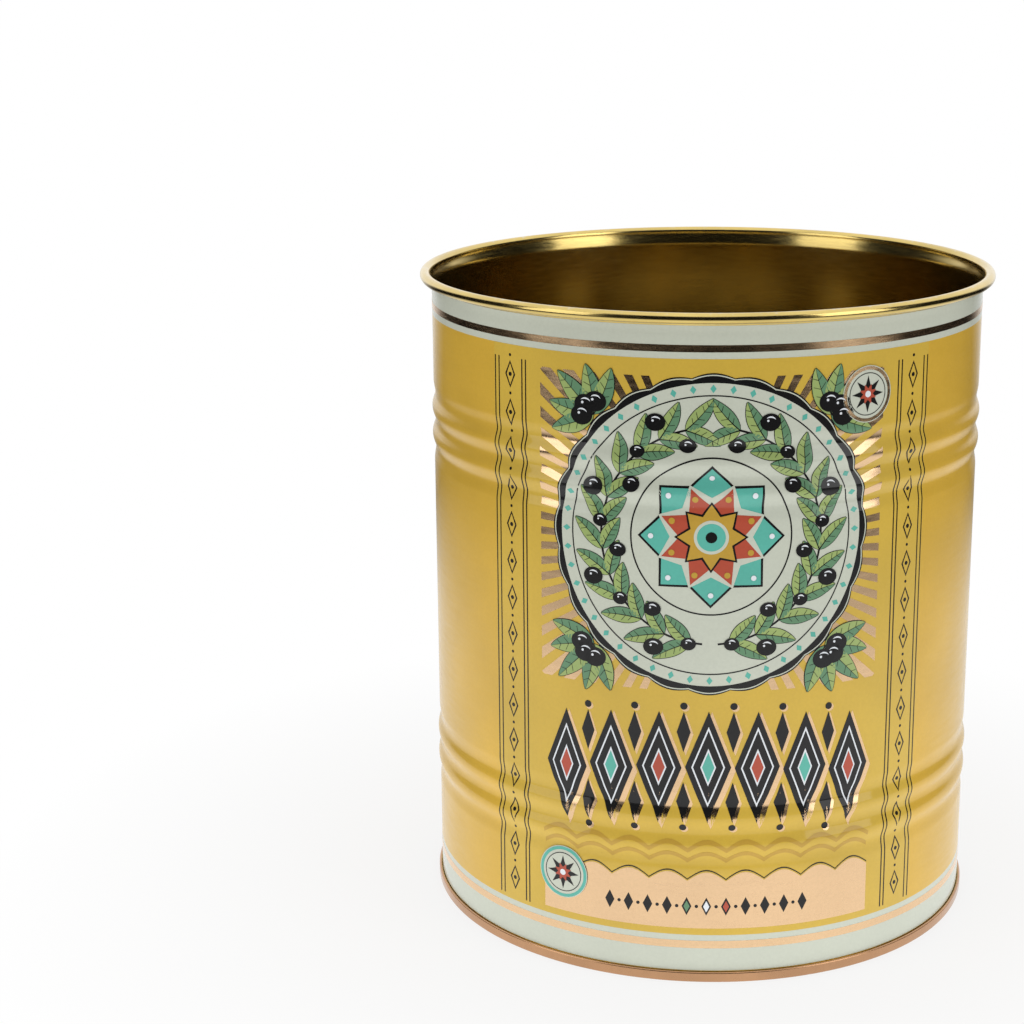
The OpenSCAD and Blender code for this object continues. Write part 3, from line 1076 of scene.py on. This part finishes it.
# %% Darts between the lozenges
DART, DART_SHADE, DART_AWAY, DART_U, DART_Z = lozenge(1.6, 4.9), lozenge(1.75, 5.2), 8.6, 0.5, -0.55
PIP, PIP_SHADE, PIP_AWAY, PIP_OFF = circle(0.85), circle(0.95), 6.3, 0.35

for i in range(LOZENGES - 1):
    u = (i - (LOZENGES - 2) / 2) * LOZENGE_STEP
    for way in (-1, 1):
        z = arch(u) + way * DART_AWAY
        pip_z = z + way * PIP_AWAY
        art["copper"].append(blob(u + DART_U, z + DART_Z, DART_SHADE, COPPER, cells=24))
        art["black"].append(blob(u, z, DART, KEY, cells=16))
        art["copper"].append(blob(u + PIP_OFF, pip_z - PIP_OFF, PIP_SHADE, COPPER))
        art["black"].append(blob(u, pip_z, PIP, KEY))
print("darts", 2 * (LOZENGES - 1))

# %% [markdown]
# ## Scallops and the copper field
# Rows of scallops in a deeper yellow lead down to a copper field. The field could
# be given a paler colour, but it is the same copper ink as the rays. It looks pale
# there only because it mirrors the floor.

# %% Scallops and copper field
FIELD_HALF, FIELD_STEPS, FIELD_LOW, FIELD_TOP = 40.5, 162, 13.6, 25.6
SCALLOP, SCALLOP_ROWS, SCALLOP_RISE, SCALLOP_HALF = 9.0, (33.4, 30.6), 2.0, 0.55
FIELD_RISE, FIELD_LINE = 2.2, (25.9, 26.2)
field_u = np.linspace(-FIELD_HALF, FIELD_HALF, FIELD_STEPS + 1)
waves = np.abs(np.cos(np.pi * field_u / SCALLOP))
for row in SCALLOP_ROWS:
    lower, upper = row - SCALLOP_HALF + SCALLOP_RISE * waves, row + SCALLOP_HALF + SCALLOP_RISE * waves
    art["mustard"].append(sheet_between(field_u, lower, upper, COPPER, across=2))
crest = FIELD_RISE * waves
field = sheet_between(field_u, FIELD_LOW + 0 * waves, FIELD_TOP + crest, COPPER, across=30)
art["copper"].append(field)
art["black"].append(sheet_between(field_u, FIELD_LINE[0] + crest, FIELD_LINE[1] + crest, COPPER))
print("copper field", 2 * FIELD_HALF, "mm wide")

# %% Chain on the copper field
BEADS_Z, BEADS_STEP, BEADS_SIDE = 19.2, 4.6, 5
STRUNG, STRUNG_HEART, STRUNG_DOT = lozenge(1.15, 2.3), lozenge(0.72, 1.45), circle(0.42)
STRUNG_COLOURS = ((-1, "leaf_dark"), (0, "pale"), (1, "rust"))
for k in range(-BEADS_SIDE, BEADS_SIDE + 1):
    art["black"].append(blob(k * BEADS_STEP, BEADS_Z, STRUNG, KEY, cells=8))
    if k < BEADS_SIDE:
        art["black"].append(blob((k + 0.5) * BEADS_STEP, BEADS_Z, STRUNG_DOT, KEY))
for k, colour in STRUNG_COLOURS:
    art[colour].append(blob(k * BEADS_STEP, BEADS_Z, STRUNG_HEART, FIELD, cells=4))
print("chain of", 2 * BEADS_SIDE + 1, "lozenges")

# %% [markdown]
# ## Two small badges
# A round badge sits in the top right corner and another at the bottom left. Each
# is a ring, a cream field and a small star, and one loop makes both, because only
# the place and the ring's ink differ. They are printed last, over all the rest.

# %% Badges
BADGES = ((36.3, 139.8, "copper"), (-35.2, 23.6, "teal"))
BADGE, BADGE_RING, BADGE_LINE = circle(6.5), (circle(5.55), circle(6.3)), (circle(4.7), circle(4.9))
BADGE_STAR, BADGE_HEART, BADGE_DOT = star(4.2, 1.9), star(2.4, 1.3), circle(0.75)
for u, z, ring_colour in BADGES:
    art["cream"].append(blob(u, z, BADGE, BERRIES, cells=24))
    art[ring_colour].append(hoop(u, z, *BADGE_RING, BERRIES + 1, steps=64))
    art["black"].append(hoop(u, z, *BADGE_LINE, BERRIES + 1, steps=64))
    art["black"].append(blob(u, z, BADGE_STAR, BERRIES + 1, cells=16))
    art["rust"].append(blob(u, z, BADGE_HEART, BERRIES + 2, cells=12, tilt=HALF_POINT))
    art["pale"].append(blob(u, z, BADGE_DOT, BERRIES + 3))
print("badges", len(BADGES))

# %% [markdown]
# ## The press run
# All films are drawn now, sorted by their ink. The loop joins each ink's films
# into one piece, in the order in which the inks were mixed above.

# %% Press run
for colour, films in art.items():
    print_piece("print_" + colour, films, INKS[colour])

# %% [markdown]
# ## The camera
# A camera stands a little above the rim and looks down at the front. It could track
# the tin with a constraint, but the tin stands off the middle of the frame. So its
# place goes round the tin as an angle and a distance, and its aim is a pitch, a yaw
# and a roll, which are the numbers that a photographer reads off a tripod.

# %% Camera
CAM_AZIMUTH, CAM_AWAY, CAM_UP = -1.9, 0.54607, 0.24356
CAM_PITCH, CAM_YAW, CAM_ROLL = 15.06, -3.17, -0.59
CAM_LENS, CAM_SENSOR = 77.84, 36.0
CLIP_NEAR, CLIP_FAR = 0.01, 20


def aim_camera():
    """A camera from its place round the tin and its pitch, yaw and roll in degrees. Its back, up and
    right are the columns of its matrix."""
    angles = (CAM_AZIMUTH, CAM_PITCH, CAM_YAW, CAM_ROLL)
    azimuth, pitch, yaw, roll = (math.radians(a) for a in angles)
    flat = math.cos(pitch)
    ahead = np.array([math.sin(yaw) * flat, math.cos(yaw) * flat, -math.sin(pitch)])
    level = np.array([math.cos(yaw), -math.sin(yaw), 0.0])
    upright = np.cross(level, ahead)
    across = level * math.cos(roll) + upright * math.sin(roll)
    upright = upright * math.cos(roll) - level * math.sin(roll)
    data = bpy.data.cameras.new("camera")
    data.sensor_width, data.lens = CAM_SENSOR, CAM_LENS
    data.clip_start, data.clip_end = CLIP_NEAR, CLIP_FAR
    camera = bpy.data.objects.new("camera", data)
    place = (math.sin(azimuth) * CAM_AWAY, -math.cos(azimuth) * CAM_AWAY, CAM_UP)
    axes = np.stack([across, upright, -ahead], 1)
    camera.matrix_world = Matrix.Translation(place) @ Matrix(axes.tolist()).to_4x4()
    bpy.context.scene.collection.objects.link(camera)
    bpy.context.scene.camera = camera
    return camera


print("camera at", [round(c, 3) for c in aim_camera().matrix_world.translation])

# %% [markdown]
# ## Softboxes
# Two tall softboxes stand left and right of the camera. Small lamps would leave hard
# spots on the varnish. Tall ones give two upright shines, one to each side of the
# front, as on any glossy can.

# %% Softboxes
BOX_W, BOX_H, BOX_AWAY, BOX_FOOT = 0.50, 0.95, 0.95, 0.02
SOFTBOXES = (("softbox_left", -58, 1.5), ("softbox_right", 58, 1.9))


def add_softbox(name, azimuth, glow):
    """An upright area lamp that faces the tin's axis. Its power is the glow of its face times the
    face's area times pi."""
    lamp = bpy.data.lights.new(name, "AREA")
    lamp.shape, lamp.size, lamp.size_y = "RECTANGLE", BOX_W, BOX_H
    lamp.energy = glow * math.pi * BOX_W * BOX_H
    box = bpy.data.objects.new(name, lamp)
    a = math.radians(azimuth + CAM_AZIMUTH)
    place = (math.sin(a) * BOX_AWAY, -math.cos(a) * BOX_AWAY, BOX_FOOT + BOX_H / 2)
    facing = Matrix(((math.cos(a), 0, math.sin(a)), (math.sin(a), 0, -math.cos(a)), (0, 1, 0)))
    box.matrix_world = Matrix.Translation(place) @ facing.to_4x4()
    bpy.context.scene.collection.objects.link(box)
    print(name, "of", round(lamp.energy, 2), "W")


for softbox in SOFTBOXES:
    add_softbox(*softbox)

# %% [markdown]
# ## The room
# The world plays three parts, told apart by the kind of ray. The camera sees plain
# white. Mirrors see a room that is white behind and above and dim in front, which
# darkens the copper at the top. All other light is even and pale. Real walls could
# do this, but they would also change the light on the tin. The world isn't sampled
# as a lamp, because then it could not tell the rays apart.

# %% World
WORLD_LEVEL = 0.56
ROOM_ASIDE, ROOM_ABOVE = 0.5, 1.5
DIM_TO, WHITE_FROM, DIM, WHITE = 0.2, 0.5, 0.01, 1.0


def ray_kinds(tree):
    """Whether a ray comes from the camera, from a mirror or glass, or from a dull face."""
    path = tree.nodes.new("ShaderNodeLightPath").outputs
    mirrors = maths(tree, "MAXIMUM", path["Is Glossy Ray"], path["Is Transmission Ray"])
    return path["Is Camera Ray"], mirrors, path["Is Diffuse Ray"]


def build_world():
    """The lean towards the back and the ceiling, less a share for the sides, goes from dim to
    white for mirrors."""
    world = bpy.data.worlds.new("studio")
    bpy.context.scene.world = world
    world.use_nodes = True
    world.cycles.sampling_method = "NONE"
    tree = world.node_tree
    tree.nodes.clear()
    way = tree.nodes.new("ShaderNodeTexCoord")
    x, y, z = parts(tree, way.outputs["Generated"])
    aside = maths(tree, "MULTIPLY", maths(tree, "ABSOLUTE", x), ROOM_ASIDE)
    lean = maths(tree, "SUBTRACT", y, aside)
    lean = maths(tree, "ADD", lean, maths(tree, "MULTIPLY", z, ROOM_ABOVE))
    room = ranged(tree, lean, DIM_TO, WHITE_FROM, DIM, WHITE)
    seen, mirrors, _ = ray_kinds(tree)
    light = tree.nodes.new("ShaderNodeBackground")
    light.inputs["Color"].default_value = (1, 1, 1, 1)
    level = blended(tree, seen, blended(tree, mirrors, WORLD_LEVEL, room), WHITE)
    tree.links.new(level, light.inputs["Strength"])
    out = tree.nodes.new("ShaderNodeOutputWorld")
    tree.links.new(light.outputs[0], out.inputs["Surface"])
    return world


print("world", build_world().name)

# %% [markdown]
# ## The floor
# The tin stands on a white floor that keeps its soft shadow. Near the tin the
# floor mirrors white in the lower wall, and farther off it is dim, as a table that
# ends. More light could make it white, but it would also wash out the tin. So here
# too the kind of ray decides, and the white that the camera sees adds no light.

# %% Floor
FLOOR_R, FLOOR_STEPS = 3.0, 128
FLOOR_WHITE, FLOOR_ROUGH = (0.86, 0.86, 0.86, 1), 0.9
SHADOW_NEAR, SHADOW_FAR, SHADOW_WHITE = 0.07, 0.19, 0.82
TABLE_NEAR, TABLE_FAR, TABLE_WHITE = 0.26, 0.46, 0.92
BACK_NEAR, BACK_FAR, BACK_WHITE, BACK_ASIDE = 0.1, 0.5, 0.9, 0.9
BOUNCE_NEAR, BOUNCE_FAR, BOUNCE_HIGH, BOUNCE_LOW = 0.1, 0.7, 1.75, 0.6


def floor_material():
    """A dull white face mixed with a glow. The camera's share of the glow grows with the distance
    from the tin, and mirrors and dull faces see the glow alone."""
    made, tree, shader = material("floor_white")
    shader.inputs["Base Color"].default_value = FLOOR_WHITE
    shader.inputs["Roughness"].default_value = FLOOR_ROUGH
    shader.inputs["Specular IOR Level"].default_value = 0.0
    made.cycles.emission_sampling = "NONE"
    place = tree.nodes.new("ShaderNodeTexCoord").outputs["Object"]
    far = vector_maths(tree, "LENGTH", place).outputs["Value"]
    x, y, _ = parts(tree, place)
    aside = maths(tree, "MULTIPLY", maths(tree, "ABSOLUTE", x), BACK_ASIDE)
    behind = ranged(tree, maths(tree, "SUBTRACT", y, aside), BACK_NEAR, BACK_FAR, 0.0, BACK_WHITE)
    table = ranged(tree, far, TABLE_NEAR, TABLE_FAR, TABLE_WHITE, DIM)
    bounce = ranged(tree, far, BOUNCE_NEAR, BOUNCE_FAR, BOUNCE_HIGH, BOUNCE_LOW)
    seen, mirrors, dull = ray_kinds(tree)
    level = blended(tree, dull, maths(tree, "MAXIMUM", table, behind), bounce)
    glow = tree.nodes.new("ShaderNodeEmission")
    tree.links.new(blended(tree, seen, level, WHITE), glow.inputs["Strength"])
    share = ranged(tree, far, SHADOW_NEAR, SHADOW_FAR, SHADOW_WHITE, WHITE)
    share = maths(tree, "MAXIMUM", maths(tree, "MULTIPLY", seen, share), mirrors)
    mix = tree.nodes.new("ShaderNodeMixShader")
    tree.links.new(maths(tree, "MAXIMUM", share, dull), mix.inputs[0])
    tree.links.new(shader.outputs[0], mix.inputs[1])
    tree.links.new(glow.outputs[0], mix.inputs[2])
    tree.links.new(mix.outputs[0], tree.nodes["Material Output"].inputs["Surface"])
    return made


def build_floor():
    """A wide flat disc under the tin."""
    angle = np.linspace(0, 2 * np.pi, FLOOR_STEPS, endpoint=False)
    rim = np.stack([FLOOR_R * np.cos(angle), FLOOR_R * np.sin(angle), 0 * angle], -1)
    mesh = bpy.data.meshes.new("floor")
    mesh.from_pydata(rim.tolist(), [], [list(range(FLOOR_STEPS))])
    mesh.materials.append(floor_material())
    floor = bpy.data.objects.new("floor", mesh)
    bpy.context.scene.collection.objects.link(floor)
    return floor


print("floor", round(build_floor().dimensions.x, 1), "m across")

# %% [markdown]
# ## The view
# The Standard view shows each colour about as it is written. The print lies
# inside the rim's width.

# %% View
bpy.context.scene.view_settings.view_transform = "Standard"
